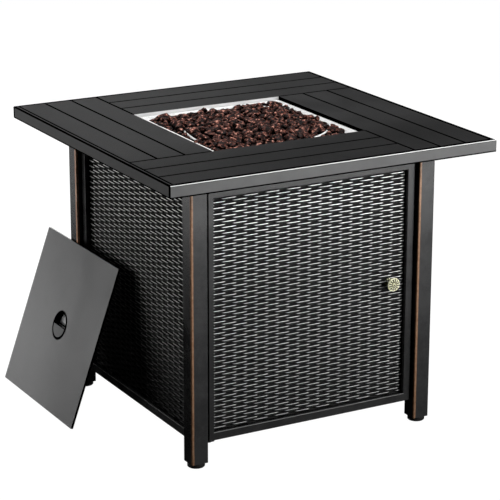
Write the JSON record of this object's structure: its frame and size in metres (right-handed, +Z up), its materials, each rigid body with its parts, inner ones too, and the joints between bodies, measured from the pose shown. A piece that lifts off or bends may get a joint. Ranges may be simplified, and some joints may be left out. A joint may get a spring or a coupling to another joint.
{
  "type": "propane fire pit table",
  "caption": "Square steel fire pit table with woven-look side panels, hinged door, burner bowl with lava rock, gas valve, igniter and a lift-off lid.",
  "frame": {"origin": "on the floor, under the middle of the table", "axes": "+Z up, -Y out of the door, -X towards the side that the lid leans on"},
  "size_m": [0.7977, 0.778, 0.64],
  "materials": {
    "powder_black": "satin powder coat, rubbed bronze on the outer corners",
    "top_coat": "fine matt powder coat",
    "weave_steel": "semi-gloss coat on embossed sheet",
    "lid_coat": "satin powder coat",
    "stainless": "brushed",
    "antique_brass": "aged cast",
    "brass": "turned",
    "lava": "porous",
    "foot_plastic": "moulded",
    "knob_plastic": "moulded",
    "zinc_steel": "zinc plated",
    "alloy": "plain",
    "porcelain": "glazed",
    "wire_jacket": "smooth"
  },
  "bodies": {
    "table": {"post_front_left": "powder_black", "post_front_right": "powder_black", "post_back_left": "powder_black", "post_back_right": "powder_black", "rail_front_top": "powder_black", "rail_back_top": "powder_black", "rail_left_top": "powder_black", "rail_right_top": "powder_black", "under_top_frame": "powder_black", "panel_left_frame": "powder_black", "panel_right_frame": "powder_black", "panel_back_frame": "powder_black", "base_plate": "powder_black", "control_panel": "powder_black", "pivot_bracket": "powder_black", "tabletop": "top_coat", "panel_left_weave": "weave_steel", "panel_right_weave": "weave_steel", "panel_back_weave": "weave_steel", "burner_bowl": "stainless", "burner_ring": "stainless", "valve_body": "brass", "valve_nut": "brass", "inlet_fitting": "brass", "inlet_elbow": "brass", "burner_nut": "brass", "thermocouple": "brass", "thermocouple_lead": "brass", "lava_rock": "lava", "magnet_catch": "foot_plastic", "igniter_body": "knob_plastic", "igniter_nut": "knob_plastic", "foot_nuts": "zinc_steel", "pivot_pin_top": "zinc_steel", "pivot_pin_bottom": "zinc_steel", "panel_screws": "zinc_steel", "base_screws": "zinc_steel", "tabletop_bolts": "zinc_steel", "control_screws": "zinc_steel", "gas_tube": "alloy", "air_mixer": "alloy", "electrode": "porcelain", "igniter_wire": "wire_jacket"},
    "door": {"door_frame": "powder_black", "door_weave": "weave_steel", "door_bushes": "foot_plastic", "door_knob": "antique_brass", "door_knob_base": "antique_brass", "door_knob_screw": "zinc_steel", "door_strike": "zinc_steel"},
    "stem_push": {"stem_collar": "brass"},
    "knob": {"valve_stem": "brass", "control_knob": "knob_plastic"},
    "igniter_button": {"igniter_button": "knob_plastic"},
    "lid": {"lid_plate": "lid_coat", "lid_pull": "lid_coat"},
    "foot_front_left": {"foot_front_left": "foot_plastic"},
    "foot_front_right": {"foot_front_right": "foot_plastic"},
    "foot_back_left": {"foot_back_left": "foot_plastic"},
    "foot_back_right": {"foot_back_right": "foot_plastic"}
  },
  "joints": [
    {"name": "door_swing", "type": "hinge", "parent": "table", "child": "door", "pos_m": [-0.2411, -0.2701, 0.3], "axis": [0, 0, -1], "range_deg": [0, 95]},
    {"name": "knob_push", "type": "slide", "parent": "table", "child": "stem_push", "axis": [0, 1, 0], "range_m": [0, 0.003], "stiffness_N_per_m": 1500},
    {"name": "knob_turn", "type": "hinge", "parent": "stem_push", "child": "knob", "pos_m": [0.11, -0.241, 0.546], "axis": [0, -1, 0], "range_deg": [0, 180]},
    {"name": "igniter_press", "type": "slide", "parent": "table", "child": "igniter_button", "axis": [0, 1, 0], "range_m": [0, 0.005], "stiffness_N_per_m": 1200},
    {"name": "lid_lift", "type": "slide", "parent": "table", "child": "lid", "axis": [-0.9433, 0, 0.3318], "range_m": [0, 0.3]},
    {"name": "foot_front_left_level", "type": "slide", "parent": "table", "child": "foot_front_left", "axis": [0, 0, -1], "range_m": [0, 0.012]},
    {"name": "foot_front_right_level", "type": "slide", "parent": "table", "child": "foot_front_right", "axis": [0, 0, -1], "range_m": [0, 0.012]},
    {"name": "foot_back_left_level", "type": "slide", "parent": "table", "child": "foot_back_left", "axis": [0, 0, -1], "range_m": [0, 0.012]},
    {"name": "foot_back_right_level", "type": "slide", "parent": "table", "child": "foot_back_right", "axis": [0, 0, -1], "range_m": [0, 0.012]}
  ]
}
